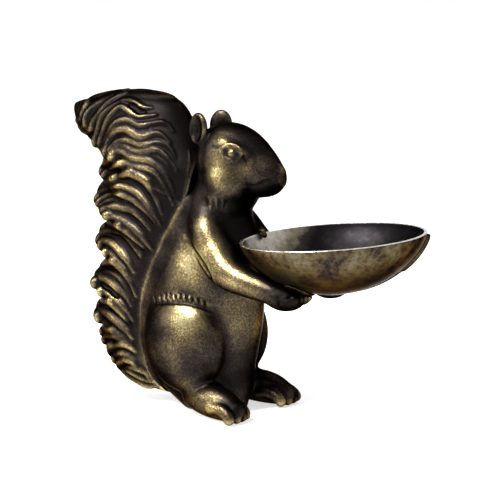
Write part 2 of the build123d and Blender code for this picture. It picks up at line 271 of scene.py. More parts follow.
def stack(rows, axis):
    """Oval sections along an axis. Rows: place, centre, half size and half width, the last across y."""
    rows = np.asarray(rows, float)
    other = 2 - axis
    low = np.zeros(3)
    high = np.zeros(3)
    low[axis], high[axis] = rows[0, 0], rows[-1, 0]
    low[other] = (rows[:, 1] - rows[:, 2]).min()
    high[other] = (rows[:, 1] + rows[:, 2]).max()
    low[1], high[1] = -rows[:, 3].max(), rows[:, 3].max()

    def distance(x, y, z):
        places = (x, y, z)
        key = places[axis]
        centre, half, width = (values.reshape(key.shape) for values in smooth_rows(rows, key.ravel()).T)
        offset = places[other] - centre
        side = oval((offset, y), (half, width))
        return np.maximum(side, np.maximum(rows[0, 0] - key, key - rows[-1, 0]))

    return low, high, distance


def skin(clay, name, wear_and_painted_light=()):
    """Mesh of the clay's surface. Its rub attribute is high on crests and low in hollows, and its second
    attribute adds up soft spots of rubbing, of painted highlight and of painted shade, each with a centre,
    a spread and a weight, the same on both sides."""
    grid = openvdb.FloatGrid(far_away)
    grid.copyFromArray(clay.field)
    points, triangles, quads = grid.convertToPolygons(0.0, 0.0)
    places = np.asarray(points, float)
    slope = np.gradient(clay.field)
    for _ in range(2):
        normal = np.column_stack([sample(part, places) for part in slope])
        size = np.maximum((normal ** 2).sum(1), 1e-4)
        shift = np.clip(sample(clay.field, places) / size, -0.5, 0.5)
        places = places - normal * shift[:, None]
    faces = [tuple(map(int, face)) for kind in (triangles, quads) for face in kind]
    real = places * clay.step + clay.low
    piece = add_mesh(name, (real * unit).tolist(), faces)
    piece.data.shade_smooth()
    reach = max(1, round(relief_reach / clay.step))
    relief = sample(blurred(clay.field, reach), places) - sample(clay.field, places)
    # Level of rubbing, painted highlight and painted shade, summed from the spots
    level = np.zeros(len(places))
    folded = real * np.array((1, -1, 1)) ** (real[:, 1:2] > 0)
    for centre, spread, weight in wear_and_painted_light:
        level += weight * np.exp(-((folded - centre) ** 2).sum(1) / spread ** 2)
    for label, values in (("rub", np.clip(relief, -relief_limit, relief_limit)), ("wear_and_painted_light", level)):
        layer = piece.data.attributes.new(label, "FLOAT", "POINT")
        layer.data.foreach_set("value", values.astype(np.float32))
    return piece


# Places on the clay that pixels of the photograph show

def sight(pixel):
    """Direction in which the camera sees a pixel of the photograph."""
    focal = camera_lens / sensor_width * image_size
    u, v = pixel
    ray = right * (u - image_size / 2) / focal + up * (image_size / 2 - v) / focal - back
    return ray / np.linalg.norm(ray)


def first_inside(clay, start, direction, length):
    """First place inside the clay along a ray, or the place nearest to the clay."""
    places = start + np.arange(0, length, clay.step / 2)[:, None] * direction
    distances = clay.at(places)
    inside = np.nonzero(distances < 0)[0]
    return places[inside[0] if len(inside) else distances.argmin()]


def seen(clay, pixel):
    """Place on the clay that a pixel of the photograph shows."""
    ray = sight(pixel)
    return first_inside(clay, eye_point + ray * (camera_distance - view_reach), ray, 2 * view_reach)


def outward(clay, place):
    """Unit vector out of the clay at a place."""
    shifts = np.concatenate((np.eye(3), -np.eye(3))) * 2 * clay.step
    values = clay.at(place + shifts)
    slope = values[:3] - values[3:]
    return slope / max(np.linalg.norm(slope), 1e-6)


def smooth_line(clay, pixels, sink):
    """Line of places under the clay's skin, one pixel after the other, by a depth for each."""
    places = []
    for pixel, depth in zip(pixels, np.broadcast_to(sink, len(pixels))):
        place = seen(clay, pixel)
        places.append(place - outward(clay, place) * depth)
    return curve(places, 4 * len(places))


def ridge(clay, pixels, radius, height, blend, target):
    """Raised line on the target, over pixels of the photograph that show the clay."""
    target.add(limb(smooth_line(clay, pixels, radius - height), radius), blend)


def groove(clay, pixels, radius, depth, blend, target):
    """Furrow in the target, over pixels that show the clay, shallow at both of its ends."""
    line = smooth_line(clay, pixels, depth - radius)
    part = np.linspace(0, 1, len(line))
    radii = radius * (1 - groove_taper * (2 * part - 1) ** groove_taper_power)
    target.cut(limb(line, radii), blend)


# Tail: a smooth form with a line of locks on each side, each lock placed by its crest in the photograph

seam_line = [(-40, 2), (-46, 10), (-53, 24), (-55, 47), (-52, 76), (-39, 105), (-22, 138), (-18, 167),
             (-19, 180)]
seam_count = 60
band_width = 7.0
tail_height = 203.0
tail_depth = 110.0
tail_width = 49.0
# Rings: height, back, front and half width
tail_ring_shares = [
    (0.03, -0.60, -0.40, 0.10), (0.05, -0.74, -0.31, 0.25), (0.09, -0.85, -0.27, 0.35),
    (0.14, -0.89, -0.25, 0.40), (0.24, -0.90, -0.22, 0.45), (0.37, -0.885, -0.16, 0.485),
    (0.52, -0.88, -0.07, 0.50), (0.66, -0.87, 0.01, 0.50), (0.79, -0.88, -0.04, 0.48),
    (0.87, -0.91, -0.17, 0.44), (0.93, -0.90, -0.28, 0.37), (0.975, -0.84, -0.38, 0.25),
    (0.993, -0.765, -0.475, 0.16), (1.00, -0.66, -0.58, 0.04),
]
# Tiers of locks: height and reach, and the rings of one tier: rise and part of its reach
tier_shares = [(0.065, 0.30), (0.12, 0.45), (0.18, 0.75), (0.28, 1.00), (0.41, 0.70), (0.535, 1.00),
               (0.625, 0.45), (0.73, 1.10)]
tier_ring_shares = [(-0.025, 0.0), (-0.012, 0.75), (0.0, 1.0), (0.022, 0.65)]
tier_reach = 9.0
tier_swell = 1.6
tier_rise = 26.0
tier_end_share = 0.03
tilt_top_power = 6
tilt_foot_power = 12
tail_room = ((-126, -30, -2), (22, 30, 206))
level_steps = 4
cap_slope = 0.9
cap_blend = 6.0


def seam_place(z):
    """Place along X of the seam at a height."""
    line = curve(seam_line, seam_count)
    return np.interp(z, line[:, 1], line[:, 0])


def tilted_stack(rows):
    """Oval sections of the tail, each tilted with its back edge up."""
    rows = np.asarray(rows, float)

    def distance(x, y, z):
        level = z + 0 * x
        for _ in range(level_steps):
            columns = smooth_rows(rows, level.ravel()).T
            centre, half, width, swell, slope = (part.reshape(level.shape) for part in columns)
            level = z - (centre - x) * slope
        along = (x - centre) * np.sqrt(1 + slope ** 2)
        width = width + swell * np.clip((seam_place(z) - band_width - x) / band_width, 0, 1)
        side = oval((along, y), (half, width))
        ends = np.maximum(rows[0, 0] - level, level - rows[-1, 0]) * cap_slope
        return -smooth_min(-side, -ends, cap_blend)

    return *tail_room, distance


def tail_rows():
    """Sections from the ground up: level, centre, half length, half width, swell, slope."""
    keys = [share[0] for share in tail_ring_shares]
    crests = [(height + rise, part * reach)
              for height, reach in tier_shares for rise, part in tier_ring_shares]
    low = crests[0][0]
    high = crests[-1][0] + tier_end_share
    levels = [(key, 0.0) for key in keys if key < low or key > high] + crests
    rows = []
    for level, part in sorted(levels):
        back_share, front_share, width_share = (np.interp(level, keys, [row[i] for row in tail_ring_shares])
                                                for i in (1, 2, 3))
        back_x = back_share * tail_depth - part * tier_reach
        half = (front_share * tail_depth - back_x) / 2
        tilt = math.radians(tier_rise * (1 - level ** tilt_top_power)
                            * (1 - (1 - level) ** tilt_foot_power))
        rows.append((level * tail_height, back_x + half, half / math.cos(tilt),
                     width_share * tail_width, min(part, 1) * tier_swell, math.tan(tilt)))
    return rows


tail_tip_line = [(-80, 0, 180), (-92, 0, 180), (-103, 0, 181), (-112, 0, 184), (-119, 0, 187),
                 (-124, 0, 189.5)]
tail_tip_radii = (17, 16.5, 14.5, 10.5, 6, 1.8)
tail_tip_points = 20
tail_tip_blend = 8.0
seam_pixels = [(191, 151), (191.6, 162), (188.6, 177), (184, 200), (180, 210), (174, 222), (168, 234),
               (162, 244), (155, 258), (150, 272), (146, 286), (143, 300), (141, 315), (141, 330),
               (143, 350), (147, 368), (152, 378), (155, 385)]
lock_stand = 0.5
# Locks: thickness, and pixels of the crest, all but one led from the seam's band to the back edge
lock_table = [
    (3.2, (121, 90), (107, 93), (95, 97), (87, 103), (83, 111), (81, 119)),
    (3.8, (113, 95), (102, 101), (94, 106), (88, 112), (85, 119), (85, 125)),
    (3.4, (127, 92), (118, 96), (109, 102), (103, 108), (98, 115), (93, 122), (90, 129)),
    (3.4, (124, 99), (114, 105), (105, 112), (100, 119), (98, 128), (96, 135), (94, 143)),
    (2.6, (152, 108), (143, 107), (136, 103), (130, 100), (123, 101)),
    (3.2, (156, 115), (147, 116), (138, 116.5), (131, 112.5), (126, 109), (121, 106.5), (115, 110),
     (109, 117), (105, 125), (102, 134), (99, 142)),
    (3.0, (173, 131), (168, 125), (161, 122), (152, 123.5), (143, 125.5), (136, 124.5), (130, 121),
     (124, 119.5), (117, 122), (111, 128), (107, 136), (104, 145), (103, 151)),
    (3.8, (170, 143), (163, 136), (157, 133), (150, 135), (143, 137), (137, 136), (131, 132), (126, 129),
     (120, 129), (114, 132), (110, 138), (107, 145), (105, 153)),
    (1.8, (134, 129), (141, 131.5), (147, 132.5), (151, 130)),
    (3.0, (175, 158), (171, 149), (165, 144), (157, 142.5), (148, 144.5), (140, 144.5), (133, 142),
     (126, 140), (119, 141), (113, 145), (108, 152), (105, 159)),
    (3.2, (176, 170), (171, 162), (166, 156), (160, 151), (153, 149.5), (145, 151), (138, 151.5), (132, 150),
     (127, 147), (121, 145), (115, 148), (109, 155), (105, 163)),
    (2.0, (172, 176), (166, 164), (158, 158), (150, 155), (142, 154.5), (135, 155), (129, 152)),
    (3.6, (174, 194), (170, 183), (164, 173), (157, 166), (149, 161), (141, 159.5), (134, 158.5),
     (128, 155.5), (122, 151), (116, 151.5), (110, 157), (104, 165), (101, 172)),
    (3.0, (173, 205), (168, 192), (162, 181), (156, 173), (149, 169), (141, 167.5), (133, 166), (126, 163),
     (118, 163), (110, 168), (103, 175)),
    (4.0, (162, 214), (158, 203), (153, 193), (148, 184), (142, 178), (135, 174.5), (128, 173.5), (120, 175),
     (112, 178.5), (104, 184)),
    (3.4, (161, 226), (156, 217), (150, 209), (144, 201), (138, 194), (131, 189.5), (124, 186.5), (117, 186),
     (109, 188), (101, 192), (96, 199)),
    (3.0, (158, 227), (152, 218), (145, 210), (138, 204), (132, 199.5), (126, 196.5), (119, 194), (112, 194),
     (104, 197), (97, 204)),
    (2.6, (126, 203), (119, 200), (112, 199.5), (105, 202), (100, 208)),
    (4.4, (150, 229), (144, 221), (137, 214), (130, 209.5), (123, 207.5), (115, 206), (108, 208), (103, 213)),
    (3.8, (152, 250), (147, 243), (141, 236), (135, 230), (128, 224.5), (120, 219), (112, 215.5), (105, 217)),
    (3.4, (143, 247), (136, 240), (130, 234), (123, 229), (116, 225), (109, 223), (103, 227)),
    (4.2, (141, 256), (134, 246), (128, 238), (121, 232), (114, 230), (107, 231), (101, 235), (98, 241)),
    (4.2, (134, 272), (128, 262), (122, 254), (116, 247), (110, 242), (103, 241), (100, 246)),
    (3.4, (131, 280), (125, 270), (118, 261), (112, 254), (106, 251), (102, 256)),
    (4.0, (136, 296), (131, 284), (125, 273), (118, 265), (111, 261.5), (104, 263), (102, 268)),
    (3.0, (133, 300), (127, 289), (120, 279), (112, 273), (104, 271.5)),
    (4.6, (131, 305), (127, 297), (121, 290.5), (115, 285), (109, 280), (102, 277), (96, 279), (93, 285)),
    (3.8, (133, 320), (128, 312), (123, 306), (117, 299.5), (110, 294), (102, 292), (98, 295)),
    (3.8, (128, 322), (122, 314), (115, 306), (108, 301), (102, 300), (99, 304)),
    (4.8, (132, 338), (127, 331), (120, 324), (113, 317), (107, 311.5), (101, 309.5), (97, 313), (96, 319)),
    (3.6, (130, 342), (124, 337.5), (117, 333), (110, 329.5), (103, 329), (99, 332)),
    (3.6, (127, 345), (120, 339), (113, 336), (106, 336), (103, 341)),
    (4.4, (135, 351), (130, 346.5), (123, 344), (116, 344), (110, 346), (107, 351)),
    (3.8, (134, 358), (128, 354), (121, 353), (115, 356), (113, 361)),
    (4.0, (137, 367), (131, 361.5), (125, 359.5), (119, 363), (118, 369)),
    (3.8, (156, 386), (147, 386), (138, 382.5), (130, 378), (122, 373.5)),
    (3.2, (153, 382), (146, 380.5), (138, 376.5), (130, 372), (123, 369)),
    (3.2, (149, 379), (145, 372.5), (138, 369.5), (130, 367)),
]
# Hollows between locks: radius and pixels
hollow_table = [
    (2.4, (146, 112), (139, 111), (134, 107), (129, 104.5)),
    (2.0, (119, 298), (112, 290.5), (105, 286)),
]
lock_blend = 0.9
lock_lift = 1.2
lock_root_share = 0.5
lock_root_run = 0.35
# End of a lock behind the tail: drop, part of its place across, part of its thickness
lock_end_table = [(2.5, 0.55, 0.9), (6, 0.1, 0.6)]
hollow_depth_share = 0.7
hollow_blend = 0.5


def behind(clay, y, z):
    """Place on the clay's skin seen from behind."""
    return first_inside(clay, np.array((clay.low[0], y, z)), np.array((1.0, 0, 0)), view_reach)


def lock_form(clay, thickness, pixels):
    """One lock: thin where it leaves the seam's band, thick before its rounded end behind the tail."""
    shares = np.linspace(0, 1, len(pixels))
    growth = np.clip(shares / lock_root_run, 0, 1)
    widths = list(thickness * (lock_root_share + (1 - lock_root_share) * growth))
    centres = []
    for pixel, width in zip(pixels, widths):
        place = seen(clay, pixel)
        miss = max(clay.at(place[None])[0] - lock_lift, 0)
        centres.append(place - outward(clay, place) * (width * (1 - lock_stand) + miss))
    end = centres[-1]
    rear = behind(clay, end[1], end[2])
    if end[0] < rear[0] + 3 * thickness:
        for drop, across, share in lock_end_table:
            place = behind(clay, end[1] * across, end[2] - drop)
            centres.append(place - outward(clay, place) * thickness * share * (1 - lock_stand))
            widths.append(thickness * share)
    return bar(centres, widths, 4 * len(centres))


tail_grid = ((-130, -32, -1), (2, 0, 206))
tail_clay = Clay(*tail_grid, tail_step)
tail_clay.add(tilted_stack(tail_rows()))
tail_clay.add(bar(tail_tip_line, tail_tip_radii, tail_tip_points), tail_tip_blend)
smooth_tail = tail_clay.mirrored()
for thickness, *pixels in lock_table:
    tail_clay.add(lock_form(smooth_tail, thickness, pixels), lock_blend)
for radius, *pixels in hollow_table:
    groove(smooth_tail, pixels, radius, radius * hollow_depth_share, hollow_blend, tail_clay)

# Body

torso_rows = [
    (0, -13.2, 22, 16.4), (12, -18.9, 30.4, 23.3), (30, -23.7, 37.8, 29), (55, -23.5, 42.5, 31.5),
    (80, -20, 40.7, 30.6), (102, -14.5, 35.6, 27.4), (115, -13.2, 29, 25.2), (124, -12.5, 24.4, 23.6),
    (133, -12.1, 20.5, 21.1), (142, -10.6, 17.6, 17), (148, -9.2, 13.6, 12.6),
]
head_rows = [
    (-22.9, 161, 6.6, 4), (-18.6, 161, 16, 12), (-9.3, 161.5, 22, 17.6), (3.1, 161, 23.5, 19.6),
    (14.9, 159.2, 21.2, 17.6), (25.4, 156.4, 16.5, 12.4), (33.5, 154, 10.3, 8), (37.9, 152.6, 5.2, 4),
]
snout = ((25, 0, 152), (14, 11, 11.5), (0, 20, 0))
cheek = ((5, -11.5, 149), (15.5, 9.5, 11.5), (0, 12, 0))
brow = ((10, -12.5, 171.5), (12, 5.2, 3.4), (0, 22, 0))
throat = ((-3, 0, 140), (20, 19, 15))
nose = ((34.8, 0, 156.5), (4.4, 4.8, 4.4))
eye_socket = ((11.6, -19.6, 167.2), (5.6, 2.5, 4.6), (0, 12, 0))
eyeball = ((11.4, -14.8, 167.3), (4.1, 4.1, 3.7), (0, 10, 0))
thigh = ((-19, -24.5, 46), (28.5, 17, 32))
arm_line = [(-11, -11.5, 130), (-5, -19, 118), (3.4, -22, 105), (15, -25.6, 94.5), (29, -26.5, 89.5),
            (42, -26.5, 86.5), (56, -26, 83)]
arm_radii = (9.5, 11, 12, 10.8, 9, 8, 7.5)
arm_points = 60
palm = ((57, -25.5, 83), (13.5, 9.5, 8.6))
finger_count = 4
finger_length = 7.0
finger_pitch = 4.2
finger_root = (61, -25.5, 81.5)
finger_radii = (4.2, 3.6)
finger_spread = 0.15
finger_lift = 2.0
knuckle_shift = (1.0, 0, -0.6)
finger_blend = 0.5
finger_points = 9
foot_line = [(-15, -22.5, 10), (-7, -24, 11), (2, -26, 11.2), (12, -27.5, 10), (22, -29, 7.4)]
foot_radii = (6, 9, 10.6, 10, 7.2)
foot_points = 40
toe_count = 4
toe_pitch = 4.9
toe_line = [(10, -27, 9), (15, -27.6, 9.6), (20, -28.4, 8.6), (24, -29, 6.4), (26, -29.4, 4.2)]
toe_radii = (4.0, 4.2, 4.2, 4.0, 3.6)
toe_spread = 0.2
toe_arc = 5.0
toe_blend = 1.4
toe_points = 16
ear_centre = np.array((-16.7, -12.5, 180.6))
ear_radii = (7.8, 3.4, 10.4)
ear_hollow_radii = (6.3, 3.2, 8.9)
ear_hollow_shift = (-0.9, -2.5, 0.2)
ear_turns = (0, 4, -12)
ear_blend = 3.0
hollow_edge_blend = 0.8
eyeball_blend = 0.2

fillet_radius = 7.0
fillet_heights = (177, 210, 240, 370)
fillet_shares = (0.15, 0.5, 1.0, 0.6)
seam_start = 3
fillet_blend = 5.0
seam_radius = 1.0
seam_height = 0.7
upper_seam_height = 0.6
upper_seam_shift = 1.5
seam_blend = 0.4
line_blend = 0.8

body_grid = ((-70, -46, -1), (82, 0, 196))
# Forms of the body, each with the blend that joins it to those before it
body_forms = [
    (stack(torso_rows, 2), 0), (stack(head_rows, 0), 7), (egg(*throat), 7), (egg(*snout), 4),
    (egg(*cheek), 4), (egg(*brow), 2), (egg(*nose), 2), (egg(*thigh), 4),
    (bar(arm_line, arm_radii, arm_points), 4), (egg(*palm), 2), (bar(foot_line, foot_radii, foot_points), 5),
]

body_clay = Clay(*body_grid, clay_step)
for form, blend in body_forms:
    body_clay.add(form, blend)


def fan(line, index, count, pitch, spread):
    """A digit's line: the middle line moved across, and more so towards its tip."""
    across = (index - (count - 1) / 2) * pitch
    shares = np.linspace(1, 1 + spread, len(line))
    return np.array(line, float) + across * shares[:, None] * np.array((0, -1, 0))


for index in range(toe_count):
    outer = abs(index - (toe_count - 1) / 2) / toe_count
    line = fan(toe_line, index, toe_count, toe_pitch, toe_spread) - np.array((outer * toe_arc, 0, 0))
    body_clay.add(bar(line, toe_radii, toe_points), toe_blend)
for index in range(finger_count):
    across = (index - (finger_count - 1) / 2) * finger_pitch
    root = np.array(finger_root) - np.array((0, across, 0))
    tip = root + np.array((finger_length, -across * finger_spread, finger_lift))
    knuckle = (root + tip) / 2 + np.array(knuckle_shift)
    radii = np.linspace(*finger_radii, finger_points)
    body_clay.add(limb(curve((root, knuckle, tip), finger_points), radii), finger_blend)

body_clay.add(egg(ear_centre, ear_radii, ear_turns), ear_blend)
ear_hollow_centre = ear_centre + turned(ear_turns) @ np.array(ear_hollow_shift)
body_clay.cut(egg(ear_hollow_centre, ear_hollow_radii, ear_turns), hollow_edge_blend)

body_clay.cut(egg(*eye_socket), hollow_edge_blend)
body_clay.add(egg(*eyeball), eyeball_blend)
smooth_body = body_clay.mirrored()


def seam_fillet():
    """Round bar under the seam that fills the corner between the tail's border and the body."""
    centres = []
    radii = []
    for pixel in seam_pixels[seam_start:]:
        place = seen(smooth_tail, pixel)
        radius = fillet_radius * np.interp(pixel[1], fillet_heights, fillet_shares)
        centres.append(place - outward(smooth_tail, place) * radius + np.array((radius / 2, 0, 0)))
        radii.append(radius)
    count = 4 * len(centres)
    places = np.linspace(0, len(radii) - 1, count)
    return limb(curve(centres, count), np.interp(places, range(len(radii)), radii))


body_clay.add(seam_fillet(), fillet_blend)
ridge(smooth_tail, seam_pixels[seam_start:], seam_radius, seam_height, seam_blend, body_clay)
upper_seam = [(u - upper_seam_shift, v) for u, v in seam_pixels[:seam_start + 2]]
ridge(smooth_tail, upper_seam, seam_radius, upper_seam_height, seam_blend, tail_clay)

# Lines carved into the face and the coat, and raised ones: radius, height or depth, pixels
ridge_table = [
    (1.0, 0.9, (220, 149), (223, 146.5), (227, 144.8), (232, 144.3), (237, 146), (241, 150), (242, 155)),
    (0.9, 0.8, (221, 151), (223, 155), (226.5, 158.5), (231, 160), (236, 158.5), (241, 155.5)),
    (2.6, 0.5, (158, 299), (166, 297.5), (176, 297), (186, 297.5), (195, 299.5), (204, 302), (211, 304)),
    (2.4, 0.4, (184, 238), (189, 243), (195, 251), (201, 259), (207, 269), (212, 277), (216, 284)),
]
groove_table = [
    (0.8, 0.5, (246, 184), (252, 186), (258, 185), (265, 181), (273, 178.5)),
    (0.8, 0.4, (210, 146), (214, 146.5), (219, 147)),
    (0.8, 0.5, (243, 156), (246, 160), (247, 164)),
    (0.9, 0.6, (276, 165), (278.5, 167), (280, 170)),
    (1.6, 0.9, (157, 304), (166, 303), (176, 302.5), (186, 303), (195, 305), (205, 308), (213, 312)),
    (2.4, 1.3, (188, 241), (194, 250), (200, 259), (206, 269), (211, 278), (215, 285)),
    (0.9, 0.7, (206, 197), (208, 202), (209, 207)),
    (0.9, 0.7, (212, 198), (213.5, 203), (214, 208)),
    (0.9, 0.7, (218, 199), (219.5, 204), (219, 209)),
    (0.8, 0.6, (225, 200), (225.5, 204), (224, 208)),
    (0.7, 0.5, (191, 137), (193, 131), (194, 125)),
    (0.7, 0.5, (194.5, 138), (196.5, 132), (197, 127)),
    (0.6, 0.5, (198, 138), (199.5, 133), (200, 128)),
]
for radius, height, *pixels in ridge_table:
    ridge(smooth_body, pixels, radius, height, line_blend, body_clay)
for radius, depth, *pixels in groove_table:
    groove(smooth_body, pixels, radius, depth, line_blend, body_clay)

# Short nicks of the coat over the thigh
nick_table = [(155, 300), (161, 299), (166, 298), (171, 298), (176, 298), (181, 298), (187, 299), (193, 300),
              (199, 302), (205, 304)]
nick_radius = 0.8
nick_depth = 0.9
nick_blend = 0.5
nick_lean = 0.8
nick_reaches = (4.5, 3.0, 5.5)
for index, (u, v) in enumerate(nick_table):
    reach = nick_reaches[index % len(nick_reaches)]
    pixels = [(u - nick_lean, v - reach), (u, v), (u + nick_lean, v + reach)]
    groove(smooth_body, pixels, nick_radius, nick_depth, nick_blend, body_clay)


def disc(rows, inset, top):
    """Upright oval room that starts at the lowest row's section."""
    _, centre, half, width = rows[0]
    size = (half - inset, width - inset)

    def distance(x, y, z):
        side = (np.sqrt(((x - centre) / size[0]) ** 2 + (y / size[1]) ** 2) - 1) * min(size)
        return np.maximum(side, z - top)

    reach = np.array((size[0], size[1], top))
    middle = np.array((centre, 0, 0))
    return middle - reach, middle + reach, distance


base_rim = 3.0
base_top = 4.5
everywhere = ((-200, -200, -200), (200, 200, 300))
above_ground = (*everywhere, lambda x, y, z: -z)
behind_seam = (*everywhere, lambda x, y, z: x - seam_place(z))
body_clay.cut(disc(torso_rows, base_rim, base_top))
body_clay.keep(above_ground)

# Dish: place, section and wall

dish_radius = 57.5
dish_depth = 35.0
dish_wall = 2.0
dish_centre = (75.5, 0, 118.5)
dish_pitch = 3.8
dish_roll = 1.6
dish_curve_power = 1.45
leaf_gap = 0.2
leaf_thickness = 3.0
dish_turn = np.array(Matrix.Rotation(math.radians(dish_roll), 3, "X")
                     @ Matrix.Rotation(math.radians(-dish_pitch), 3, "Y"))
dish_place = Matrix.Translation(Vector(dish_centre) * unit) @ Matrix(dish_turn).to_4x4()


def dish_distance(x, y, z, offset):
    """Distance to the dish's outer face grown by an offset, in the dish's own frame."""
    radius = dish_radius + offset
    depth = dish_depth + offset
    out = np.sqrt(x ** 2 + y ** 2)
    down = np.maximum(-z, 1e-3)
    value = (out / radius) ** 2 + (down / depth) ** dish_curve_power - 1
    slope = np.sqrt((2 * out / radius ** 2) ** 2
                    + (dish_curve_power * (down / depth) ** (dish_curve_power - 1) / depth) ** 2)
    return value / np.maximum(slope, 1e-3)


# Leaf under the dish: lobes as shares of the dish's radius, middle, half length and width, turn
leaf_lobe_shares = [
    (-0.10, 0.34, 1.04, 0.20, 17.0), (-0.64, -0.19, 0.36, 0.155, 35.0), (-0.27, -0.32, 0.32, 0.15, -72.0),
    (-0.62, 0.42, 0.36, 0.15, -48.0), (-0.20, 0.60, 0.34, 0.15, 100.0), (0.17, 0.68, 0.33, 0.14, 76.0),
    (0.50, 0.68, 0.27, 0.13, 58.0), (0.72, 0.50, 0.24, 0.13, 33.0),
]
leaf_step = 0.7
leaf_edge_drop = 2.5
lobe_blend = 1.5
vein_width = 1.2
vein_end_share = 0.9
vein_end_slope = 50.0
stem_blend = 1.0
leaf_edge_run = 2.5
leaf_edge_share = 0.35
vein_depth = 0.9
stem_line = [(41.8, -22), (49.2, -16), (55.6, -8), (59.1, -2), (58.6, 1.4), (56.5, 2.6), (54.2, 1.8),
             (53.4, -0.8)]
stem_radius = 1.7
stem_count = 30
stem_angle = math.radians(176)


def leaf_form(x, y, z):
    """Lobed sheet on the dish's outer face, thinner at its edge and grooved along each lobe."""
    outline = None
    vein = None
    for along, across, half_length, half_width, turn in leaf_lobe_shares:
        angle = math.radians(turn)
        px = x - along * dish_radius
        py = y - across * dish_radius
        run = (px * math.cos(angle) + py * math.sin(angle)) / (half_length * dish_radius)
        side = (py * math.cos(angle) - px * math.sin(angle)) / (half_width * dish_radius)
        lobe = (np.sqrt(run ** 2 + side ** 2) - 1) * half_width * dish_radius
        line = (np.abs(side) * half_width * dish_radius
                + np.maximum(np.abs(run) - vein_end_share, 0) * vein_end_slope)
        outline = lobe if outline is None else smooth_min(outline, lobe, lobe_blend)
        vein = line if vein is None else np.minimum(vein, line)
    thick = leaf_thickness * np.clip(-outline / leaf_edge_run, leaf_edge_share, 1)
    thick = thick - vein_depth * np.exp(-(vein / vein_width) ** 2)
    sheet = np.maximum(dish_distance(x, y, z, leaf_gap + thick), -dish_distance(x, y, z, leaf_gap))
    return np.maximum(np.maximum(sheet, outline), z + leaf_edge_drop)


dish_room_box = ((10, -62, 78), (136, 62, 126))
hand_blend = 0.3


def dish_room(x, y, z):
    """Room that the dish and its leaf take out of the hands and the chest."""
    local = own_places(dish_turn, dish_centre, x, y, z)
    bowl = np.maximum(dish_distance(*local, leaf_gap), local[2] - dish_wall)
    return np.minimum(bowl, leaf_form(*local) - leaf_gap)


body_clay.cut((*dish_room_box, dish_room), hand_blend)

# The tail ends at the seam and on the ground
tail_clay.keep(behind_seam)
tail_clay.keep(above_ground)

# Spots of rubbing, painted highlight and painted shade, bright for a weight above zero and dark below it:
# weight, spread, pixel
tail_wear_and_painted_light_table = [
    (-1.0, 14, 152, 83), (-1.0, 14, 134, 81), (-0.7, 12, 166, 90), (-0.9, 20, 168, 108), (-0.9, 16, 182, 130),
    (-0.8, 14, 183, 160), (-0.8, 12, 176, 190), (-0.6, 12, 165, 218), (-0.5, 12, 152, 245),
    (-0.5, 12, 143, 280), (-0.5, 12, 137, 320), (-0.6, 18, 140, 90), (-0.3, 14, 110, 95), (-0.2, 14, 88, 108),
    (0.4, 16, 118, 190), (0.35, 14, 140, 165), (0.3, 14, 118, 150), (0.3, 14, 120, 250), (0.3, 16, 112, 300),
    (0.3, 14, 125, 355), (0.4, 12, 135, 378), (0.3, 12, 135, 130),
]
body_wear_and_painted_light_table = [
    (1.0, 9, 218, 166), (0.6, 7, 216, 178), (0.8, 8, 222, 138), (0.8, 6, 204, 224), (1.1, 7, 212, 245),
    (1.1, 7, 222, 262), (0.8, 7, 233, 278), (0.4, 8, 250, 288), (1.5, 12, 193, 262), (0.6, 10, 182, 284),
    (1.5, 11, 184, 316), (0.4, 16, 176, 345), (0.5, 12, 240, 318), (0.5, 9, 258, 328), (0.7, 8, 190, 388),
    (0.5, 9, 212, 400), (0.5, 8, 258, 165), (0.4, 9, 240, 172), (0.5, 4, 203, 132), (0.4, 7, 268, 388),
    (0.7, 4, 212, 202), (-1.0, 18, 246, 126), (-0.7, 14, 268, 150), (-1.0, 9, 268, 188), (-1.0, 9, 252, 196),
    (-1.0, 16, 246, 218), (-0.7, 12, 232, 240), (-0.8, 16, 240, 378), (-0.6, 14, 205, 365),
    (-0.6, 10, 155, 335), (-0.6, 12, 165, 380), (-0.6, 9, 283, 300), (-0.6, 8, 237, 410), (-0.6, 9, 290, 396),
    (-0.8, 10, 192, 210), (-1.6, 16, 189, 166), (-0.8, 10, 184, 192), (-0.8, 6, 234, 160),
    (-1.4, 12, 196, 126), (0.5, 3, 231, 151), (-1.3, 15, 290, 301), (-0.6, 8, 236, 403), (-0.5, 9, 186, 299),
    (-0.7, 7, 207, 190), (-0.5, 8, 170, 240), (-0.5, 8, 160, 270),
]


def spots_of_wear_and_painted_light(clay, table):
    """Places, spreads and weights of the spots of rubbing, painted highlight and painted shade, named by
    pixels of the photograph.
    """
    return [(seen(clay, pixel), spread, weight) for weight, spread, *pixel in table]


# Tail and body meshes, each carrying its spots of rubbing, painted highlight and painted shade
tail_piece = skin(tail_clay.mirrored(), "tail_locks", spots_of_wear_and_painted_light(smooth_tail, tail_wear_and_painted_light_table))
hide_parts("tail")
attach(tail_piece, "root")
body_piece = skin(body_clay.mirrored(), "squirrel_body", spots_of_wear_and_painted_light(smooth_body, body_wear_and_painted_light_table))
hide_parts("body_right_shell", "body_left_shell")
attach(body_piece, "root")

# Dish

dish_sides = 160
rim_bead = 0.5
face_rows = 40
bead_rows = 9
outside, inside, rim = range(3)


def dish_outline():
    """Half section of the dish from the middle of its floor inside, over the rim, to the middle outside."""
    def face(offset):
        down = (dish_depth + offset) * np.cos(np.linspace(0, math.pi / 2, face_rows))
        out = (dish_radius + offset) * np.sqrt(1 - (down / (dish_depth + offset)) ** dish_curve_power)
        return np.column_stack((out, -down))

    inner = face(-dish_wall)
    outer = face(0)[::-1]
    turns = np.linspace(math.pi, 0, bead_rows)[1:-1]
    bead_out = dish_radius - dish_wall / 2 + dish_wall / 2 * np.cos(turns)
    bead = np.column_stack((bead_out, rim_bead * np.sin(turns)))
    return np.concatenate((inner, bead, outer))


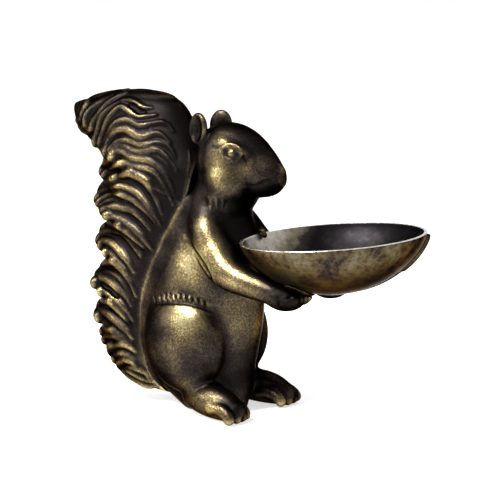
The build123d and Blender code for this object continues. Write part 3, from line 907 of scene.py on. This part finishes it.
def lathe(outline, sides, name):
    """Mesh turned about Z from a half section that starts and ends on the axis."""
    turns = np.linspace(0, 2 * math.pi, sides, endpoint=False)
    rings = outline[1:-1]
    points = [(0, 0, outline[0, 1]), (0, 0, outline[-1, 1])]
    for out, height in rings:
        points.extend((out * math.cos(turn), out * math.sin(turn), height) for turn in turns)
    faces = []
    for side in range(sides):
        after = (side + 1) % sides
        faces.append((0, 2 + side, 2 + after))
        last = 2 + (len(rings) - 1) * sides
        faces.append((1, last + after, last + side))
    kinds = [inside, outside] * sides
    bead_end = face_rows + bead_rows - 3
    for row in range(len(rings) - 1):
        kind = inside if row < face_rows - 1 else rim if row < bead_end else outside
        base = 2 + row * sides
        for side in range(sides):
            after = (side + 1) % sides
            faces.append((base + side, base + sides + side, base + sides + after, base + after))
            kinds.append(kind)
    piece = add_mesh(name, [tuple(c * unit for c in point) for point in points], faces)
    piece.data.polygons.foreach_set("material_index", kinds)
    piece.data.shade_smooth()
    return piece


dish_piece = lathe(dish_outline(), dish_sides, "dish_bowl")
dish_piece.data.transform(dish_place)
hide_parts("dish")
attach(dish_piece, "root")

# Leaf piece

leaf_margin = 6
leaf_reach = dish_radius + leaf_margin
leaf_low = (-leaf_reach, -leaf_reach, -dish_depth - leaf_margin)
leaf_clay = Clay(leaf_low, (leaf_reach, leaf_reach, leaf_margin), leaf_step)
leaf_clay.add((*everywhere, leaf_form))
stem_points = [(out * math.cos(stem_angle), out * math.sin(stem_angle), height) for out, height in stem_line]
leaf_clay.add(limb(curve(stem_points, stem_count), stem_radius), stem_blend)
leaf_piece = skin(leaf_clay, "leaf_lobes")
leaf_piece.data.transform(dish_place)
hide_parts("leaf_cradle")
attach(leaf_piece, "root")

# Materials

def material(name):
    """New material, its node tree and its shader."""
    made = bpy.data.materials.new(name)
    made.use_nodes = True
    tree = made.node_tree
    return made, tree, tree.nodes["Principled BSDF"]


def noise(tree, size, detail, roughness=0.6):
    """Noise in the object's own space with features of a size in figure units."""
    place = tree.nodes.new("ShaderNodeTexCoord")
    node = tree.nodes.new("ShaderNodeTexNoise")
    node.inputs["Scale"].default_value = 1 / (size * unit)
    node.inputs["Detail"].default_value = detail
    node.inputs["Roughness"].default_value = roughness
    tree.links.new(place.outputs["Object"], node.inputs["Vector"])
    return node.outputs["Fac"]


def math_node(tree, operation, first, second):
    """Result of an operation on two sockets or numbers."""
    node = tree.nodes.new("ShaderNodeMath")
    node.operation = operation
    for socket, value in zip(node.inputs, (first, second)):
        if isinstance(value, (int, float)):
            socket.default_value = value
        else:
            tree.links.new(value, socket)
    return node.outputs[0]


def mapped(tree, value, low, high, to_low, to_high):
    """Value carried from one range to another and held within it."""
    node = tree.nodes.new("ShaderNodeMapRange")
    for name, number in (("From Min", low), ("From Max", high), ("To Min", to_low), ("To Max", to_high)):
        node.inputs[name].default_value = number
    tree.links.new(value, node.inputs["Value"])
    return node.outputs["Result"]


def spots(tree, size, detail, roughness, *ends):
    """Noise carried from one range to another."""
    return mapped(tree, noise(tree, size, detail, roughness), *ends)


def ramp(tree, value, stops):
    """Colour for a value, from stops with a place and a colour each."""
    node = tree.nodes.new("ShaderNodeValToRGB")
    elements = node.color_ramp.elements
    while len(elements) < len(stops):
        elements.new(0.5)
    for element, (position, colour) in zip(elements, stops):
        element.position = position
        element.color = (*colour, 1)
    tree.links.new(value, node.inputs["Fac"])
    return node.outputs["Color"]


def bumps(tree, shader, layers):
    """Bump from noises, each with its depth in figure units and its strength."""
    normal = None
    for kind, depth, strength in layers:
        node = tree.nodes.new("ShaderNodeBump")
        node.inputs["Distance"].default_value = depth * unit
        node.inputs["Strength"].default_value = strength
        tree.links.new(noise(tree, *kind), node.inputs["Height"])
        if normal is not None:
            tree.links.new(normal, node.inputs["Normal"])
        normal = node.outputs["Normal"]
        tree.links.new(normal, shader.inputs["Normal"])


def attribute(tree, name):
    """Value kept at the mesh's points under a name."""
    node = tree.nodes.new("ShaderNodeAttribute")
    node.attribute_name = name
    return node.outputs["Fac"]


def metal_coat(tree, shader, level, stops, rough, layers=(), edge_tint=(1.0, 1.0, 1.0)):
    """Metal whose colour and roughness follow a level, with layers of bumps."""
    shader.inputs["Metallic"].default_value = 1.0
    shader.inputs["Specular Tint"].default_value = (*edge_tint, 1)
    tree.links.new(ramp(tree, level, stops), shader.inputs["Base Color"])
    tree.links.new(mapped(tree, level, *rough), shader.inputs["Roughness"])
    bumps(tree, shader, layers)


# Noises: size, detail, roughness. Ranges: from low, from high, to low, to high. Spots: a noise and a range.
# Bumps: a noise, its depth and its strength. Stops: level and colour.
bronze_stops = [(0.0, (0.006, 0.005, 0.005)), (0.3, (0.018, 0.014, 0.012)), (0.55, (0.055, 0.042, 0.025)),
                (0.8, (0.16, 0.12, 0.052)), (1.0, (0.37, 0.305, 0.165))]
bronze_edge_tint = (0.30, 0.26, 0.22)
bronze_rough = (0.0, 1.0, 0.40, 0.20)
patch_spots = (14, 3, 0.6, 0.3, 0.7, -0.12, 0.12)
speck_spots = (1.2, 5, 0.8, 0.36, 0.62, -0.22, 0.14)
bronze_bumps = [((3.5, 3), 0.5, 0.35), ((0.8, 4, 0.75), 0.3, 0.5)]


def antique_bronze(name, rub_share, wear_and_painted_light_share, base_level):
    """Cast bronze, dark in its hollows and rubbed bright on its crests, brightened and darkened at the listed
    spots of rubbing, painted highlight and painted shade.
    """
    made, tree, shader = material(name)
    level = math_node(tree, "MULTIPLY", attribute(tree, "rub"), rub_share)
    # Rubbing, painted highlights and painted shade from the listed spots
    painted_light_and_wear_level = math_node(tree, "MULTIPLY", attribute(tree, "wear_and_painted_light"), wear_and_painted_light_share)
    for part in (painted_light_and_wear_level, spots(tree, *patch_spots), spots(tree, *speck_spots), base_level):
        level = math_node(tree, "ADD", level, part)
    metal_coat(tree, shader, level, bronze_stops, bronze_rough, bronze_bumps, bronze_edge_tint)
    return made


def along_dish(tree, axis):
    """Place along an axis of the object's own space, from -1 to 1 across the dish."""
    place = tree.nodes.new("ShaderNodeTexCoord")
    split = tree.nodes.new("ShaderNodeSeparateXYZ")
    tree.links.new(place.outputs["Object"], split.inputs[0])
    middle = dish_centre[axis]
    low, high = (middle - dish_radius) * unit, (middle + dish_radius) * unit
    return mapped(tree, split.outputs[axis], low, high, -1.0, 1.0)


# Colours of the inside: dark metal at low levels, painted reflection at high ones
inside_stops_with_painted_reflection = [(0.0, (0.010, 0.009, 0.010)), (0.25, (0.03, 0.027, 0.026)), (0.5, (0.20, 0.17, 0.12)),
                (0.85, (0.55, 0.53, 0.50))]
inside_rough = (0.0, 0.6, 0.46, 0.3)
# Painted reflection, brighter towards each end of the inside
near_end_painted_reflection_range = (-0.99, -0.62, 0.85, 0.0)
far_end_painted_reflection_range = (0.62, 1.0, 0.0, 0.5)
cloud_spots = (12, 6, 0.7, 0.35, 0.65, -0.12, 0.12)
inside_bumps = [((1.2, 4, 0.7), 0.15, 0.25)]


def dish_inside():
    """Smooth dark metal with a painted reflection, bright at the end by the chest and a little at the far
    one, mottled by random spots.
    """
    made, tree, shader = material("dark_dish_inside_with_painted_reflection")
    # Random mottling of the dark inside, which also breaks up the painted reflection
    wear_and_painted_light = spots(tree, *cloud_spots)
    along = along_dish(tree, 0)
    # Painted reflection at the end by the chest and at the far end
    near_end_painted_reflection = mapped(tree, along, *near_end_painted_reflection_range)
    far_end_painted_reflection = mapped(tree, along, *far_end_painted_reflection_range)
    level = math_node(tree, "ADD", math_node(tree, "MAXIMUM", near_end_painted_reflection, far_end_painted_reflection), wear_and_painted_light)
    metal_coat(tree, shader, level, inside_stops_with_painted_reflection, inside_rough, inside_bumps, bronze_edge_tint)
    return made


rim_stops = [(0.3, (0.35, 0.32, 0.26)), (0.6, (0.72, 0.70, 0.64))]
rim_rough = (0.3, 0.7, 0.2, 0.35)
rim_noise = (3, 4)


def dish_rim():
    """Rim rubbed bright."""
    made, tree, shader = material("bright_dish_rim")
    metal_coat(tree, shader, noise(tree, *rim_noise), rim_stops, rim_rough)
    return made


stained_stops = [(0.0, (0.012, 0.011, 0.011)), (0.3, (0.030, 0.022, 0.016)), (0.55, (0.050, 0.037, 0.021)),
                 (0.8, (0.070, 0.053, 0.027)), (1.0, (0.085, 0.074, 0.050))]
stained_rough = (0.0, 1.0, 0.42, 0.28)
blot_spots = (17, 3, 0.5, 0.36, 0.64, 0.35, 1.0)
upper_range = (-0.42, -0.12, 0.25, 1.0)
stain_spots = (3.2, 6, 0.72, 0.36, 0.56, -0.55, 0.08)
stained_bumps = [((6, 2), 0.4, 0.12), ((1.0, 4, 0.7), 0.2, 0.3)]


def dish_metal():
    """Stained outside of the dish, spotted in its upper half and plain brown below."""
    made, tree, shader = material("stained_dish")
    blots = spots(tree, *blot_spots)
    upper = mapped(tree, along_dish(tree, 2), *upper_range)
    specks = spots(tree, *stain_spots)
    level = math_node(tree, "ADD", blots, math_node(tree, "MULTIPLY", specks, upper))
    metal_coat(tree, shader, level, stained_stops, stained_rough, stained_bumps, bronze_edge_tint)
    return made


steel_dark_share = 0.7
steel_rough = (0.3, 0.7, 0.3, 0.45)


def steel(name, shade, grain):
    """Steel with a fine brushed grain."""
    made, tree, shader = material(name)
    brushed = (grain, 4)
    darker = tuple(part * steel_dark_share for part in shade)
    stops = [(0.3, darker), (0.7, shade)]
    metal_coat(tree, shader, noise(tree, *brushed), stops, steel_rough, [(brushed, 0.1, 0.2)])
    return made


felt_stops = [(0.3, (0.02, 0.06, 0.03)), (0.7, (0.05, 0.13, 0.07))]
felt_noise = (0.5, 6)


def felt_cloth():
    """Green felt with short fibres."""
    made, tree, shader = material("green_felt")
    tree.links.new(ramp(tree, noise(tree, *felt_noise), felt_stops), shader.inputs["Base Color"])
    shader.inputs["Roughness"].default_value = 0.95
    bumps(tree, shader, [(felt_noise, 0.3, 0.6)])
    return made


body_metal = antique_bronze("antique_bronze", 0.55, 0.45, 0.34)
tail_metal = antique_bronze("antique_bronze_tail", 0.88, 0.4, 0.21)
leaf_metal = antique_bronze("antique_bronze_leaf", 0.4, 0, 0.14)
bowl_metal = dish_metal()
screw_steel = steel("screw_steel", (0.3, 0.27, 0.2), 1.2)
plate_steel = steel("plate_steel", (0.4, 0.4, 0.41), 2.0)
felt = felt_cloth()
piece_materials = [
    (dish_piece, bowl_metal), (dish_piece, dish_inside()), (dish_piece, dish_rim()),
    (tail_piece, tail_metal), (body_piece, body_metal), (leaf_piece, leaf_metal),
]
for piece, metal in piece_materials:
    piece.data.materials.append(metal)
node_materials = {
    "body_right_shell": body_metal, "body_left_shell": body_metal, "tail": tail_metal, "dish": bowl_metal,
    "leaf_cradle": leaf_metal, "seam_dowels": screw_steel, "tail_screws": screw_steel,
    "dish_screws": screw_steel, "base_screws": screw_steel, "base_plate": plate_steel, "base_felt": felt,
}
for name, metal in node_materials.items():
    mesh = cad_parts[name].data
    mesh.materials.clear()
    mesh.materials.append(metal)

# Studio

floor_half = 4.0
floor_shade = (0.9, 0.9, 0.9)
floor_glow = 0.6
sky_light = 0.6
# Lamps: place, size and power
lamp_table = {"key": ((-0.25, -0.75, 1.15), 0.32, 42), "fill": ((-1.1, -0.9, 0.6), 0.5, 12)}
floor_corners = [(x * floor_half, y * floor_half, 0) for x, y in ((-1, -1), (1, -1), (1, 1), (-1, 1))]
floor = add_mesh("floor", floor_corners, [(0, 1, 2, 3)])


def seen_directly(tree):
    """One for rays that show the background: straight ones, mirrored ones and ones through glass."""
    path = tree.nodes.new("ShaderNodeLightPath")
    total = path.outputs["Is Camera Ray"]
    for name in ("Is Glossy Ray", "Is Transmission Ray"):
        total = math_node(tree, "MAXIMUM", total, path.outputs[name])
    return total


floor_material, floor_tree, floor_shader = material("floor")
floor_shader.inputs["Base Color"].default_value = (*floor_shade, 1)
floor_shader.inputs["Roughness"].default_value = 1.0
floor_shader.inputs["Specular IOR Level"].default_value = 0.0
floor_shader.inputs["Emission Color"].default_value = (1, 1, 1, 1)
glow = math_node(floor_tree, "MULTIPLY", seen_directly(floor_tree), floor_glow)
floor_tree.links.new(glow, floor_shader.inputs["Emission Strength"])
floor.data.materials.append(floor_material)

world = bpy.data.worlds.new("studio")
world.use_nodes = True
bpy.context.scene.world = world
sky_tree = world.node_tree
sky = sky_tree.nodes["Background"]
sky.inputs["Color"].default_value = (1, 1, 1, 1)
level = sky_tree.nodes.new("ShaderNodeMapRange")
level.inputs["To Min"].default_value = sky_light
level.inputs["To Max"].default_value = 1.0
sky_tree.links.new(seen_directly(sky_tree), level.inputs["Value"])
sky_tree.links.new(level.outputs["Result"], sky.inputs["Strength"])


def lamp(name, place, size, power):
    """Soft square lamp that faces the object."""
    data = bpy.data.lights.new(name, "AREA")
    data.size = size
    data.energy = power
    holder = add_object(name, data)
    place = Vector(place)
    aim = Vector(np.array(camera_target) * unit) - place
    holder.location = place
    holder.rotation_euler = aim.to_track_quat("-Z", "Y").to_euler()


for name, (place, size, power) in lamp_table.items():
    lamp(name, place, size, power)

bpy.context.scene.view_settings.view_transform = "Standard"
